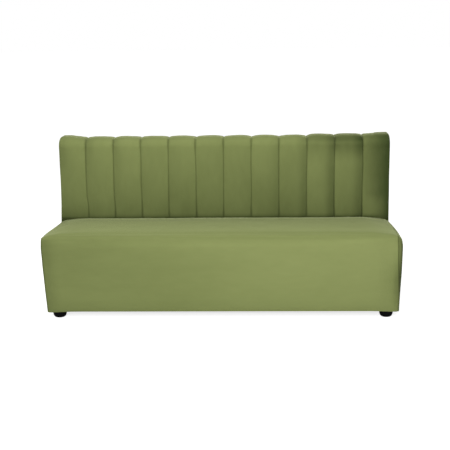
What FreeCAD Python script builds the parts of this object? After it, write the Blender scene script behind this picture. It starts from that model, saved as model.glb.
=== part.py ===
"""Upholstered banquette: a crowned box seat screwed to a channelled back, on four moulded feet.

Millimetres, +Z up, facing -Y. The origin is on the floor, under the middle of the piece.
"""

import FreeCAD, Part
import math
import os

from FreeCAD import Vector

# Driving dimensions of the finished piece
width = 1800.0               # across the back, and across the foot of the seat
depth = 640.0                # front of the seat to the outside back
height = 875.0               # floor to the crown of the channels
seat_height = 440.0          # floor to the crown of the seat
seat_depth = 470.0           # front of the seat to the channel crowns, at seat height
back_rake = 5.5              # lean of the channelled face, in degrees

# Seat upholstery
seat_side_flare = 19.0       # how far each side stands out at its top
seat_front_flare = 8.0       # how far the front stands out at its top
seat_edge_radius = 36.0      # turn of the cover along both ends of the top, at the rear
front_edge_radius = 24.0     # the same turn at the front, where the cover is sewn tighter
seat_front_radius = 18.0     # turn of the cover over the front edge of the top
seat_rear_bevel = 10.0       # slope of the cover down into the crease under the back
seat_corner_radius = 26.0    # turn of the cover at the upright front corners
seat_crown = 3.0             # rise of the top between its front and rear edges
shoulder_drop = 18.0         # fall of the top towards each end, at the rear
front_shoulder_drop = 7.0    # the same fall at the front
shoulder_length = 170.0      # length over which it falls
seat_turn_steps = 4          # flats round the end edges of the top
shoulder_steps = 3           # flats along each shoulder
seat_foam_thickness = 92.0   # main foam block, at its crown
side_padding = 12.0          # foam on the front and side boards, at their foot
wadding_thickness = 8.0      # polyester wrap over the foam
felt_thickness = 3.0         # needled felt on the webbing
cover_thickness = 2.0        # velvet with its backing cloth
hem_width = 60.0             # cover turned under the box and behind its ends
rear_flap = 12.0             # cover turned down over the rear rail
layer_gap = 0.3              # slack between one layer and the next
crease_gap = 1.0             # slack between the seat and the channels

# Back upholstery
channel_count = 12
end_channel_width = 145.0    # last seam to the side, a little less than between two seams
channel_crown = 12.5         # how far a channel swells beyond its seams
channel_root = 22.0          # pad thickness under a seam
pad_flats = 3                # flats that a foam pad is cut to under each curve of the cover
back_top_radius = 46.0       # turn of the seams over the top of the back
back_turn_steps = 4          # flats round that turn
back_corner_radius = 18.0    # turn of the end channels round the sides
side_lap = 20.0              # part of the sides that is cut in one with the end channels
lap_overlap = 6.0            # seam allowance between that part and the side piece
rear_lap = 16.0              # outside back over the turned-down end of the channels

# Timber and boards
bar = 40.0                   # square section of the softwood bars
board_thickness = 4.0        # hardboard on the front and sides of the box
back_board_thickness = 6.0   # plywood behind the channels
rear_board_thickness = 3.0   # hardboard behind the outside back
upright_thickness = 21.0     # plywood uprights of the back
upright_count = 4
top_rail_thickness = 30.0
foot_rail_width = 60.0       # rail over the rear feet
glue_block_leg = 85.0        # three-cornered blocks in the corners of the box
rail_ease = 4.0              # rounded edge under the webbing

# Webbing
strap_width = 60.0
strap_thickness = 2.0
strap_slope = 25.0           # length in which a strap climbs over the next one
strap_landing = 34.0         # strap stapled down on a rail
cross_strap_count = 11       # from front to rear
long_strap_count = 3         # from end to end

# Feet and dust cover
foot_height = 38.0
foot_top_radius = 35.0
foot_base_radius = 22.0
foot_edge_radius = 31.0      # above the sloped lower edge
foot_edge_height = 9.0
foot_recess_radius = 7.0     # for the screw head, from below
foot_recess_depth = 18.0
foot_side_inset = 58.0       # side of the piece to the middle of a foot
front_foot_inset = 62.0
rear_foot_inset = 40.0
dust_thickness = 1.0
dust_margin = 9.0            # bare edge outside the dust cover

# Fasteners
screw_radius = 2.25
screw_length = 50.0
screw_head_radius = 4.5
screw_head_height = 3.0
screw_clearance = 0.35
pilot_clearance = 0.05
coach_screw_count = 2        # in each of two rows
coach_screw_end_inset = 450.0
coach_screw_radius = 4.0
coach_screw_hold = 32.0      # length in the rails of the back
coach_screw_clearance = 0.4
coach_head_flats = 13.0
coach_head_height = 5.3
washer_width = 24.0          # square plate washers
washer_thickness = 2.0

# Heights and depths worked out from the driving dimensions
half = width / 2
front_y = -depth / 2
rear_y = depth / 2
rake = math.radians(back_rake)
base_z = foot_height + dust_thickness
frame_base_z = base_z + cover_thickness
sill_top_z = frame_base_z + bar
wadding_inset = cover_thickness + layer_gap
foam_inset = wadding_inset + wadding_thickness + layer_gap
foam_base_z = seat_height - foam_inset - seat_foam_thickness
felt_base_z = foam_base_z - felt_thickness
rail_top_z = felt_base_z - 2 * strap_thickness - layer_gap
rail_base_z = rail_top_z - bar
beyond = width + depth + height
diagonal = math.sqrt(0.5)


def crown_y(z):
    """Depth of the channel crowns at a height on the raked face."""
    return front_y + seat_depth + (z - seat_height) * math.tan(rake)


# Seat box
back_front_y = crown_y(rail_top_z)
seat_rear_y = back_front_y - crease_gap
board_half = half - foam_inset - side_padding
frame_half = board_half - board_thickness
board_front_y = front_y + seat_front_flare + foam_inset + side_padding
frame_front_y = board_front_y + board_thickness
frame_rear_y = seat_rear_y - wadding_inset
side_inner = frame_half - bar
front_inner = frame_front_y + bar
rear_inner = frame_rear_y - bar

# Back
back_half = half - wadding_inset
cover_rear_y = rear_y - cover_thickness
upright_rear_y = cover_rear_y - rear_board_thickness
seam_top_z = height - channel_crown
board_inset = channel_root + layer_gap
top_rail_top_z = seam_top_z - board_inset
top_rail_base_z = top_rail_top_z - top_rail_thickness
channel_pitch = (width - 2 * end_channel_width) / (channel_count - 2)
channel_radius = (channel_pitch ** 2 / 4 + channel_crown ** 2) / (2 * channel_crown)

# The seams' path: up the raked face, round the top edge, then back over the top
outward = Vector(0, -math.cos(rake), math.sin(rake))
upward = Vector(0, math.sin(rake), math.cos(rake))
seam_foot_z = rail_top_z + layer_gap + channel_root * math.sin(rake)
seam_foot = Vector(0, crown_y(seam_foot_z) + channel_crown / math.cos(rake), seam_foot_z)
seam_climb = (seam_top_z - back_top_radius * (1 - math.sin(rake)) - seam_foot_z) / math.cos(rake)
turn_centre = seam_foot + upward * seam_climb - outward * back_top_radius


def block(x0, x1, y0, y1, z0, z1):
    return Part.makeBox(x1 - x0, y1 - y0, z1 - z0, Vector(x0, y0, z0))


def slab(z0, z1):
    """Everything between two heights."""
    return block(-beyond, beyond, -beyond, beyond, z0, z1)


def mirrored(shape):
    return shape.mirror(Vector(0, 0, 0), Vector(1, 0, 0))


def arc(start, middle, end):
    return Part.Arc(start, middle, end).toShape()


def rod(radius, start, end):
    along = end - start
    return Part.makeCylinder(radius, along.Length, start, along)


def turned(points, base):
    """A solid turned about the upright axis through base, from points (radius, height)."""
    corners = [Vector(r, 0, z) for r, z in points]
    face = Part.Face(Part.makePolygon(corners + corners[:1]))
    solid = face.revolve(Vector(0, 0, 0), Vector(0, 0, 1), 360)
    solid.translate(base)
    return solid


def spread(count, end):
    """Even places from -end to end."""
    return [end * (2 * i / (count - 1) - 1) for i in range(count)]


# Form of the upholstered seat

def end_fall(edge_radius, drop, reach):
    """How far the top has fallen at `reach` in from an end: a gentle shoulder, then a round edge."""
    edge_left = max(edge_radius - reach, 0)
    shoulder_left = max(1 - reach / shoulder_length, 0)
    return edge_radius - math.sqrt(edge_radius ** 2 - edge_left ** 2) + drop * shoulder_left ** 2


def seat_section(side, reach, inset, rear_inset, base_inset):
    """A closed outline across the seat, `reach` in from one end, with its faces moved in by the insets."""
    corner_radius = seat_corner_radius - inset
    front_radius = seat_front_radius - inset
    corner_left = max(corner_radius - reach, 0)
    end = half - inset

    flat_top = seat_height - inset - seat_crown
    brow = flat_top - end_fall(front_edge_radius - inset, front_shoulder_drop, reach)
    rear_brow = flat_top - end_fall(seat_edge_radius - inset, shoulder_drop, reach)
    top = (brow + rear_brow) / 2 + seat_crown
    base = base_z + base_inset
    front = front_y + inset + corner_radius - math.sqrt(corner_radius ** 2 - corner_left ** 2)
    wide_z = seat_height - shoulder_drop - seat_edge_radius

    def at(y, z):
        flare = seat_side_flare * (z - base_z) / (wide_z - base_z)
        return Vector(side * (end - reach + flare * (1 - reach / shoulder_length)), y, z)

    def rear(z):
        return crown_y(max(z, rail_top_z)) - crease_gap - rear_inset

    front_turn = front_radius * (1 - diagonal)
    foot_front = at(front + seat_front_flare, base)
    front_low = at(front, brow - front_radius)
    front_high = at(front + front_radius, brow)
    rear_high = at(rear(rear_brow) - seat_rear_bevel, rear_brow)
    rear_low = at(rear(rear_brow - seat_rear_bevel), rear_brow - seat_rear_bevel)
    ledge = at(rear(rail_top_z), rail_top_z)
    foot_rear = at(rear(base), base)
    return Part.Wire([
        Part.makeLine(foot_rear, foot_front),
        Part.makeLine(foot_front, front_low),
        arc(front_low, at(front + front_turn, brow - front_turn), front_high),
        arc(front_high, at((front_high.y + rear_high.y) / 2, top), rear_high),
        Part.makeLine(rear_high, rear_low),
        Part.makeLine(rear_low, ledge),
        Part.makeLine(ledge, foot_rear),
    ])


def seat_form(inset, rear_inset, base_inset):
    """The closed form of the seat: a straight middle and two rounded ends, its top, front and ends moved in."""
    edge_radius = seat_edge_radius - inset
    turn = [edge_radius * (1 - math.cos(math.pi / 2 * i / seat_turn_steps)) for i in range(seat_turn_steps)]
    fall = shoulder_length - edge_radius
    shoulder = [edge_radius + fall * i / shoulder_steps for i in range(shoulder_steps + 1)]
    sections = [[seat_section(side, reach, inset, rear_inset, base_inset) for reach in turn + shoulder]
                for side in (-1, 1)]
    return Part.makeLoft(sections[0] + sections[1][::-1], True, True)


def seat_cover():
    """Velvet over the top, front and ends, turned under the box and down over the rear rail."""
    shell = seat_form(0, 0, 0).cut(seat_form(cover_thickness, cover_thickness, cover_thickness))
    hem_half = half - hem_width
    under = block(-hem_half, hem_half, front_y + seat_front_flare + hem_width, beyond, 0, frame_base_z)
    behind = block(-hem_half, hem_half, seat_rear_y - 2 * cover_thickness, beyond, 0, rail_top_z - rear_flap)
    return shell.cut([under, behind])


def seat_wadding():
    """Polyester wrap over the top, front and ends of the foam."""
    outer = seat_form(wadding_inset, wadding_inset, wadding_inset)
    return outer.cut(seat_form(wadding_inset + wadding_thickness, 0, 0))


def seat_foams():
    """The crowned main block, and the thin foam glued to the front and side boards."""
    core = seat_form(foam_inset, wadding_inset, wadding_inset)
    low = core.common(slab(0, foam_base_z))
    behind_front = low.common(block(-beyond, beyond, board_front_y, beyond, 0, beyond))
    left = behind_front.common(block(-beyond, -board_half, -beyond, beyond, 0, beyond))
    return {
        "seat_foam": core.common(slab(foam_base_z, beyond)),
        "front_foam": low.common(block(-beyond, beyond, -beyond, board_front_y, 0, beyond)),
        "left_foam": left,
        "right_foam": mirrored(left),
    }


# Softwood box under the seat

def eased_rail(y0, y1, inner_y):
    """A rail along the box whose upper inner edge is rounded over for the straps."""
    rail = block(-frame_half, frame_half, y0, y1, rail_base_z, rail_top_z)
    corner = Vector(0, inner_y, rail_top_z)
    edges = [e for e in rail.Edges if e.CenterOfMass.distanceToPoint(corner) < layer_gap]
    return rail.makeFillet(rail_ease, edges)


def glue_blocks():
    """Three-cornered blocks in the four lower corners of the box."""
    blocks = []
    for side in (-1, 1):
        for corner_y, leg in ((front_inner, glue_block_leg), (rear_inner, -glue_block_leg)):
            corner = Vector(side * side_inner, corner_y, frame_base_z)
            along_x = corner + Vector(-side * glue_block_leg, 0, 0)
            along_y = corner + Vector(0, leg, 0)
            face = Part.Face(Part.makePolygon([corner, along_x, along_y, corner]))
            blocks.append(face.extrude(Vector(0, 0, bar)))
    return Part.makeCompound(blocks)


def posts(y):
    """Three posts in a row, between sill and rail."""
    starts = (-frame_half, -bar / 2, side_inner)
    return Part.makeCompound([block(x, x + bar, y, y + bar, sill_top_z, rail_base_z) for x in starts])


def seat_box():
    """Sills, posts, rails, stretcher, glue blocks and boards."""
    middle_z = (sill_top_z + rail_base_z) / 2
    box = {
        "seat_front_sill": block(-frame_half, frame_half, frame_front_y, front_inner, frame_base_z, sill_top_z),
        "seat_rear_sill": block(-frame_half, frame_half, rear_inner, frame_rear_y, frame_base_z, sill_top_z),
        "seat_left_sill": block(-frame_half, -side_inner, front_inner, rear_inner, frame_base_z, sill_top_z),
        "seat_centre_sill": block(-bar / 2, bar / 2, front_inner, rear_inner, frame_base_z, sill_top_z),
        "seat_front_posts": posts(frame_front_y),
        "seat_rear_posts": posts(rear_inner),
        "seat_front_rail": eased_rail(frame_front_y, front_inner, front_inner),
        "seat_rear_rail": eased_rail(rear_inner, frame_rear_y, rear_inner),
        "seat_left_rail": block(-frame_half, -side_inner, front_inner, rear_inner, rail_base_z, rail_top_z),
        "seat_stretcher": block(-bar / 2, bar / 2, front_inner, rear_inner,
                                middle_z - bar / 2, middle_z + bar / 2),
        "seat_glue_blocks": glue_blocks(),
        "seat_front_board": block(-board_half, board_half, board_front_y, frame_front_y,
                                  frame_base_z, rail_top_z),
        "seat_left_board": block(-board_half, -frame_half, frame_front_y, frame_rear_y,
                                 frame_base_z, rail_top_z),
    }
    for piece in ("sill", "rail", "board"):
        box["seat_right_" + piece] = mirrored(box["seat_left_" + piece])
    return box


# Woven straps and the felt on them

def strap(start, end, crossings, over_first, place, across):
    """One strap that passes over every second crossing; place(along, height) sets a point of its edge."""
    low = rail_top_z
    high = rail_top_z + strap_thickness + layer_gap
    flat = strap_width / 2 + layer_gap
    points = [(start, low)]
    for middle in crossings[0 if over_first else 1::2]:
        points += [(middle - flat - strap_slope, low), (middle - flat, high)]
        points += [(middle + flat, high), (middle + flat + strap_slope, low)]
    points.append((end, low))
    under = [place(a, z) for a, z in points]
    upper = [place(a, z + strap_thickness) for a, z in reversed(points)]
    return Part.Face(Part.makePolygon(under + upper + under[:1])).extrude(across)


def webbing():
    """Straps from front to rear, interlaced with straps from end to end, and the felt."""
    cross_step = 2 * side_inner / cross_strap_count
    long_step = (rear_inner - front_inner) / long_strap_count
    cross_x = [-side_inner + cross_step * (i + 0.5) for i in range(cross_strap_count)]
    long_y = [front_inner + long_step * (j + 0.5) for j in range(long_strap_count)]
    cross = []
    for i, x in enumerate(cross_x):
        edge = x - strap_width / 2
        cross.append(strap(front_inner - strap_landing, rear_inner + strap_landing, long_y, i % 2 == 0,
                           lambda a, z: Vector(edge, a, z), Vector(strap_width, 0, 0)))
    long = []
    for j, y in enumerate(long_y):
        edge = y - strap_width / 2
        long.append(strap(-side_inner - strap_landing, side_inner + strap_landing, cross_x, j % 2 == 1,
                          lambda a, z: Vector(a, edge, z), Vector(0, strap_width, 0)))
    return {
        "cross_webbing": Part.makeCompound(cross),
        "long_webbing": Part.makeCompound(long),
        "seat_felt": block(-frame_half, frame_half, frame_front_y, frame_rear_y, felt_base_z, foam_base_z),
    }


# Frame of the back

def back_core(inset, end_y, x0, x1):
    """The body of the back above the rail, `inset` inside the seams' path, as far back as end_y, from x0 to x1."""
    foot = seam_foot - outward * inset
    foot += upward * ((rail_top_z - foot.z) / upward.z)
    turn = []
    for i in range(back_turn_steps + 1):
        angle = rake + (math.pi / 2 - rake) * i / back_turn_steps
        turn.append(turn_centre + Vector(0, -math.cos(angle), math.sin(angle)) * (back_top_radius - inset))
    corners = [foot] + turn + [Vector(0, end_y, turn[-1].z), Vector(0, end_y, rail_top_z)]
    face = Part.Face(Part.makePolygon(corners + corners[:1]))
    face.translate(Vector(x0, 0, 0))
    return face.extrude(Vector(x1 - x0, 0, 0))


def low_corner(inset):
    """What is cut away to round the left front edge of the back below the seat, `inset` inside the cover."""
    centre = Vector(-half + back_corner_radius, back_front_y + back_corner_radius, 0)
    square = block(-beyond, centre.x, -beyond, centre.y, 0, rail_top_z)
    return square.cut(Part.makeCylinder(back_corner_radius - inset, rail_top_z, centre))


def back_uprights():
    """Plywood uprights: straight below the seat rail, raked above it, let in for the rail at the seat."""
    uprights = {}
    for i, x in enumerate(spread(upright_count, back_half - upright_thickness / 2)):
        x0, x1 = x - upright_thickness / 2, x + upright_thickness / 2
        low = block(x0, x1, back_front_y, upright_rear_y, sill_top_z, rail_top_z)
        notch = block(x0, x1, back_front_y, back_front_y + bar, rail_base_z, rail_top_z)
        high = back_core(board_inset + back_board_thickness, upright_rear_y, x0, x1)
        high = high.common(slab(rail_top_z, top_rail_base_z))
        uprights[f"back_upright_{i + 1}"] = low.cut(notch).fuse(high).removeSplitter()
    return uprights


def back_frame():
    """Uprights, the rails that join them, and the boards in front of and behind them."""
    front_end = back_front_y + bar
    core = back_core(board_inset, upright_rear_y, -back_half, back_half)
    behind_board = back_core(board_inset + back_board_thickness, beyond, -back_half, back_half)
    frame = {
        "back_seat_rail": block(-back_half, back_half, back_front_y, front_end, rail_base_z, rail_top_z),
        "back_lower_rail": block(-back_half, back_half, back_front_y, front_end, frame_base_z, sill_top_z),
        "back_foot_rail": block(-back_half, back_half, upright_rear_y - foot_rail_width, upright_rear_y,
                                frame_base_z, sill_top_z),
        "back_top_rail": core.common(slab(top_rail_base_z, height)),
        "back_board": core.cut(behind_board).common(slab(rail_top_z, top_rail_base_z)),
        "rear_board": block(-back_half, back_half, upright_rear_y, cover_rear_y, frame_base_z, top_rail_top_z),
    }
    frame.update(back_uprights())
    edge = low_corner(wadding_inset)
    for name in ("back_seat_rail", "back_lower_rail", "back_upright_1", f"back_upright_{upright_count}"):
        frame[name] = frame[name].cut([edge, mirrored(edge)])
    return frame


# Channelled upholstery of the back

def carried_over(section, end_y):
    """A closed section at the seams' foot, and its places up the raked face, round the top edge and at end_y."""
    stages = [section]
    for i in range(back_turn_steps + 1):
        stage = section.copy()
        stage.translate(upward * seam_climb)
        stage.rotate(turn_centre, Vector(-1, 0, 0), (90 - back_rake) * i / back_turn_steps)
        stages.append(stage)
    rear = stages[-1].copy()
    rear.translate(Vector(0, end_y - turn_centre.y, 0))
    return stages + [rear]


def channel_edges(inset, place):
    """Edges from the left side to the right: wall, corner and half flat end channel, channels, then mirrored."""
    radius = channel_radius - inset
    centre_out = channel_crown - channel_radius
    crest = channel_crown - inset
    corner_radius = back_corner_radius - inset
    corner_out = channel_crown - back_corner_radius

    def out(off_middle):
        return centre_out + math.sqrt(radius ** 2 - off_middle ** 2)

    def end_channel(side):
        wall = side * (half - inset)
        corner_x = side * (half - back_corner_radius)
        bend = corner_radius * diagonal
        seam = side * (half - end_channel_width)
        quarter = seam + side * channel_pitch / 4
        middle = seam + side * channel_pitch / 2
        return [
            Part.makeLine(place(wall, -side_lap), place(wall, corner_out)),
            arc(place(wall, corner_out), place(corner_x + side * bend, corner_out + bend), place(corner_x, crest)),
            Part.makeLine(place(corner_x, crest), place(middle, crest)),
            arc(place(middle, crest), place(quarter, out(channel_pitch / 4)), place(seam, out(channel_pitch / 2))),
        ]

    between = []
    for k in range(channel_count - 2):
        x = -half + end_channel_width + channel_pitch * k
        seam_out = out(channel_pitch / 2)
        between.append([arc(place(x, seam_out), place(x + channel_pitch / 2, crest),
                            place(x + channel_pitch, seam_out))])
    return [end_channel(-1)] + between + [end_channel(1)]


def closed_wire(edges):
    return Part.Wire(Part.sortEdges(edges)[0])


def on_face(x, out):
    """A place across the raked face, `out` in front of the seams, at the seams' foot."""
    return seam_foot + Vector(x, 0, 0) + outward * out


def back_cover():
    """Velvet sewn into channels, up the face and over the top, turned down at the rear, with its side pieces."""
    outer = sum(channel_edges(0, on_face), [])
    inner = sum(channel_edges(cover_thickness, on_face), [])
    ends = [Part.makeLine(on_face(side * half, -side_lap), on_face(side * (half - cover_thickness), -side_lap))
            for side in (-1, 1)]
    channels = Part.makeLoft(carried_over(closed_wire(outer + inner + ends), cover_rear_y), True, True)

    def on_rear(x, out):
        return Vector(x, cover_rear_y - cover_thickness, seam_top_z + out)

    rim = sum(channel_edges(0, on_rear), [])
    rim.append(Part.makeLine(on_rear(-half, -side_lap), on_rear(half, -side_lap)))
    turned_down = Part.Face(closed_wire(rim)).extrude(Vector(0, cover_thickness, 0))

    side = back_side_piece()
    return channels.fuse([turned_down, side, mirrored(side)]).removeSplitter()


def back_side_piece():
    """The left side of the back's cover: rounded at its front edge below the seat, and turned under."""
    side_end = -half + cover_thickness
    high = back_core(side_lap - lap_overlap, cover_rear_y, -half, side_end)
    low = block(-half, -half + back_corner_radius, back_front_y, cover_rear_y, base_z, rail_top_z)
    hollow = block(side_end, beyond, back_front_y, beyond, base_z, rail_top_z)
    low = low.cut([low_corner(0), hollow.cut(low_corner(cover_thickness))])
    hem = block(-half, -half + hem_width, back_front_y, cover_rear_y, base_z, frame_base_z).cut(low_corner(0))
    return high.fuse([low, hem])


def bevelled(edges):
    """Corner points along a row of edges, with each curve cut into flats."""
    points = edges[0].discretize(2)[:1]
    for edge in edges:
        flats = 1 if edge.Curve.TypeId == "Part::GeomLine" else pad_flats
        points += edge.discretize(flats + 1)[1:]
    return points


def flat_sided(stages):
    """A solid with flat sides between closed polygons of equally many corners."""
    faces = [Part.Face(stages[0]), Part.Face(stages[-1])]
    rings = [[v.Point for v in stage.OrderedVertexes] for stage in stages]
    for low, high in zip(rings, rings[1:]):
        for i in range(len(low)):
            corners = [low[i - 1], low[i], high[i], high[i - 1]]
            faces.append(Part.Face(Part.makePolygon(corners + corners[:1])))
    return Part.Solid(Part.Shell(faces))


def channel_pads():
    """One bevelled foam strip in each channel, glued to the back board and carried over the top rail."""
    end_y = cover_rear_y - cover_thickness - layer_gap
    pads = {}
    for k, curve in enumerate(channel_edges(wadding_inset, on_face)):
        points = bevelled(curve)
        root = [on_face(end.x, -channel_root) for end in (points[-1], points[0])]
        outline = Part.makePolygon(points + root + points[:1])
        pads[f"channel_pad_{k + 1:02d}"] = flat_sided(carried_over(outline, end_y))
    return pads


def rear_cover():
    """Flat velvet panel on the outside back, turned under between the hems of the sides."""
    panel = block(-half, half, cover_rear_y, rear_y, base_z, seam_top_z - side_lap + rear_lap)
    hem_half = half - hem_width - layer_gap
    return panel.fuse(block(-hem_half, hem_half, rear_y - hem_width, rear_y, base_z, frame_base_z)).removeSplitter()


# Feet, dust cover and fasteners

foot_x = half - foot_side_inset
foot_places = {
    "front_feet": [Vector(x, front_y + front_foot_inset, 0) for x in (-foot_x, foot_x)],
    "rear_feet": [Vector(x, rear_y - rear_foot_inset, 0) for x in (-foot_x, foot_x)],
}
all_foot_places = sum(foot_places.values(), [])


def foot(place):
    """A tapered plastic foot, with a recess from below for the head of its screw."""
    bore_radius = screw_radius + screw_clearance
    return turned([(foot_recess_radius, 0), (foot_base_radius, 0), (foot_edge_radius, foot_edge_height),
                   (foot_top_radius, foot_height),
                   (bore_radius, foot_height), (bore_radius, foot_recess_depth),
                   (foot_recess_radius, foot_recess_depth)], place)


def foot_screw(place):
    """A pan-head wood screw that holds one foot, driven from below."""
    seat = foot_recess_depth
    return turned([(0, seat - screw_head_height), (screw_head_radius, seat - screw_head_height),
                   (screw_head_radius, seat), (screw_radius, seat),
                   (screw_radius, seat + screw_length), (0, seat + screw_length)], place)


def dust_cover():
    """Spunbond sheet stapled under the seat and the back."""
    return block(-half + dust_margin, half - dust_margin, front_y + seat_front_flare + dust_margin,
                 rear_y - dust_margin, foot_height, base_z)


coach_rows = (sill_top_z - bar / 2, rail_top_z - bar / 2)
coach_places = [(x, z) for z in coach_rows for x in spread(coach_screw_count, half - coach_screw_end_inset)]
coach_end_y = back_front_y + coach_screw_hold


def coach_screws():
    """Hexagon-head screws from inside the seat box, through its rear bars into the front rails of the back."""
    screws, washers = [], []
    corner = coach_head_flats / math.sqrt(3)
    for x, z in coach_places:
        face = Vector(x, rear_inner, z)
        under_head = face - Vector(0, washer_thickness, 0)
        ring = [under_head + Vector(corner * math.cos(math.radians(60 * i)), 0,
                                    corner * math.sin(math.radians(60 * i))) for i in range(7)]
        head = Part.Face(Part.makePolygon(ring)).extrude(Vector(0, -coach_head_height, 0))
        screws.append(head.fuse(rod(coach_screw_radius, under_head, Vector(x, coach_end_y, z))))
        hole = rod(coach_screw_radius + coach_screw_clearance, under_head, face)
        plate = block(x - washer_width / 2, x + washer_width / 2, under_head.y, face.y,
                      z - washer_width / 2, z + washer_width / 2)
        washers.append(plate.cut(hole))
    return {"coach_screws": Part.makeCompound(screws), "coach_washers": Part.makeCompound(washers)}


def drilled(parts):
    """Holes for the foot screws and the coach screws in the pieces that they pass through."""
    far_up = Vector(0, 0, foot_recess_depth + screw_length)
    passages = [rod(screw_radius + screw_clearance, place, place + far_up) for place in all_foot_places]
    pilots = [rod(screw_radius + pilot_clearance, place, place + far_up) for place in all_foot_places]
    coach_passages = [rod(coach_screw_radius + coach_screw_clearance, Vector(x, rear_inner, z),
                          Vector(x, frame_rear_y, z)) for x, z in coach_places]
    coach_pilots = [rod(coach_screw_radius + pilot_clearance, Vector(x, back_front_y, z),
                        Vector(x, coach_end_y, z)) for x, z in coach_places]
    holes = {
        "dust_cover": passages,
        "seat_cover": passages,
        "back_cover": passages,
        "rear_cover": passages,
        "seat_front_sill": pilots,
        "back_foot_rail": pilots,
        "seat_rear_sill": coach_passages,
        "seat_rear_rail": coach_passages,
        "back_lower_rail": coach_pilots,
        "back_seat_rail": coach_pilots,
    }
    for name, tools in holes.items():
        parts[name] = parts[name].cut(tools)
    return parts


# Put together and written out
parts = {}
parts.update(seat_box())
parts.update(webbing())
parts.update(seat_foams())
parts["seat_wadding"] = seat_wadding()
parts["seat_cover"] = seat_cover()
parts.update(back_frame())
parts.update(channel_pads())
parts["back_cover"] = back_cover()
parts["rear_cover"] = rear_cover()
parts["dust_cover"] = dust_cover()
for name, places in foot_places.items():
    parts[name] = Part.makeCompound([foot(place) for place in places])
parts["foot_screws"] = Part.makeCompound([foot_screw(place) for place in all_foot_places])
parts.update(coach_screws())
parts = drilled(parts)

os.makedirs("parts", exist_ok=True)
for name, shape in parts.items():
    shape.exportStep(os.path.join("parts", name + ".step"))
    print(f"{name}: {len(shape.Solids)} solid(s), {shape.Volume / 1000:.1f} cm3, valid {shape.isValid()}")
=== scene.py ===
"""Upholstered banquette: the looks over its packed construction. Metres, +Z up, facing -Y."""

import bmesh
import bpy
import math
import numpy as np
from mathutils import Matrix, Vector


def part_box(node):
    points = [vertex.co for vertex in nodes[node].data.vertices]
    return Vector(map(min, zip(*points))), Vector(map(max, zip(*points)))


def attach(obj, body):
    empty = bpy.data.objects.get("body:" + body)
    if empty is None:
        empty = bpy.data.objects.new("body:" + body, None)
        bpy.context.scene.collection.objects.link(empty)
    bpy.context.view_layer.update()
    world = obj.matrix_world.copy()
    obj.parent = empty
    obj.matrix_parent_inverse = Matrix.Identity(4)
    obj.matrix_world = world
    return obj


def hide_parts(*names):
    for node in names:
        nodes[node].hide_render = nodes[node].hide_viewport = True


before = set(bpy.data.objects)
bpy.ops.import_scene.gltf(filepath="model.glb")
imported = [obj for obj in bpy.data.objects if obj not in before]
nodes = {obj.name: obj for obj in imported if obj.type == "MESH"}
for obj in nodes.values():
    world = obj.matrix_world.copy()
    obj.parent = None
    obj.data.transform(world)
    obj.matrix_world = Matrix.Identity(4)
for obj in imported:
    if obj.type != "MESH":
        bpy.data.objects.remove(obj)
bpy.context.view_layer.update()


# Softwood bars: planed pine sills, posts, rails and glue blocks of the seat box and of the back.
# They are glued and stapled, left bare, and keep the shapes of the construction.
pine_dark = (0.42, 0.25, 0.11, 1)
pine_light = (0.68, 0.49, 0.27, 1)
pine_rings = 26.0
pine_roughness = (0.55, 0.72)
pine_relief = 0.0003
ring_width = 0.09
ring_contrast = 8.0
wood_fibres = 420.0
all_ways = (1.0, 1.0, 1.0)


def feed(tree, socket, value):
    """Gives a shader socket a plain value, or links another socket to it."""
    if isinstance(value, bpy.types.NodeSocket):
        tree.links.new(value, socket)
    else:
        socket.default_value = value


def put(tree, kind, options=None, **inputs):
    """A new node, whose inputs take plain values or other sockets."""
    node = tree.nodes.new(kind)
    for name, value in (options or {}).items():
        setattr(node, name, value)
    for name, value in inputs.items():
        feed(tree, node.inputs[name.replace("_", " ")], value)
    return node


def worked(tree, operation, *operands, kind="ShaderNodeMath"):
    """The result of a sum on shader values."""
    node = put(tree, kind, {"operation": operation})
    for socket, value in zip(node.inputs, operands):
        feed(tree, socket, value)
    return node.outputs[0]


def noise(tree, place, scale, **detail):
    """A cloudy value over a surface."""
    return put(tree, "ShaderNodeTexNoise", Vector=place, Scale=scale, **detail).outputs["Fac"]


def shade_ramp(tree, factor, *stops):
    """Colours over a factor, from (place, colour) stops."""
    ramp = put(tree, "ShaderNodeValToRGB", Fac=factor)
    elements = ramp.color_ramp.elements
    while len(elements) < len(stops):
        elements.new(0.5)
    for element, (place, colour) in zip(elements, stops):
        element.position = place
        element.color = colour
    return ramp.outputs["Color"]


def between(tree, factor, low, high, start=0.0, end=1.0):
    """A value that goes from low to high as a factor goes from start to end."""
    limits = {"From_Min": start, "From_Max": end, "To_Min": low, "To_Max": high}
    return put(tree, "ShaderNodeMapRange", Value=factor, **limits).outputs["Result"]


def effect_group(name, inputs):
    """An empty shader group that puts out a tone and a relief."""
    group = bpy.data.node_groups.new(name, "ShaderNodeTree")
    for label, value in inputs.items():
        kind = "NodeSocketVector" if isinstance(value, tuple) else "NodeSocketFloat"
        group.interface.new_socket(label, in_out="INPUT", socket_type=kind).default_value = value
    for label in ("Tone", "Relief"):
        group.interface.new_socket(label, in_out="OUTPUT", socket_type="NodeSocketFloat")
    return group, group.nodes.new("NodeGroupInput").outputs, group.nodes.new("NodeGroupOutput").inputs


def place_on(group):
    """Places on the piece that a group's material covers."""
    return put(group, "ShaderNodeTexCoord").outputs["Object"]


def drawn_out(group, group_in):
    """Places on the piece, drawn out along the axis with the smallest stretch."""
    return worked(group, "MULTIPLY", place_on(group), group_in["Stretch"], kind="ShaderNodeVectorMath")


def effect(tree, group, label, **values):
    """What a group puts out in a material, with the material's own values."""
    return put(tree, "ShaderNodeGroup", {"node_tree": group}, **values).outputs[label]


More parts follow.
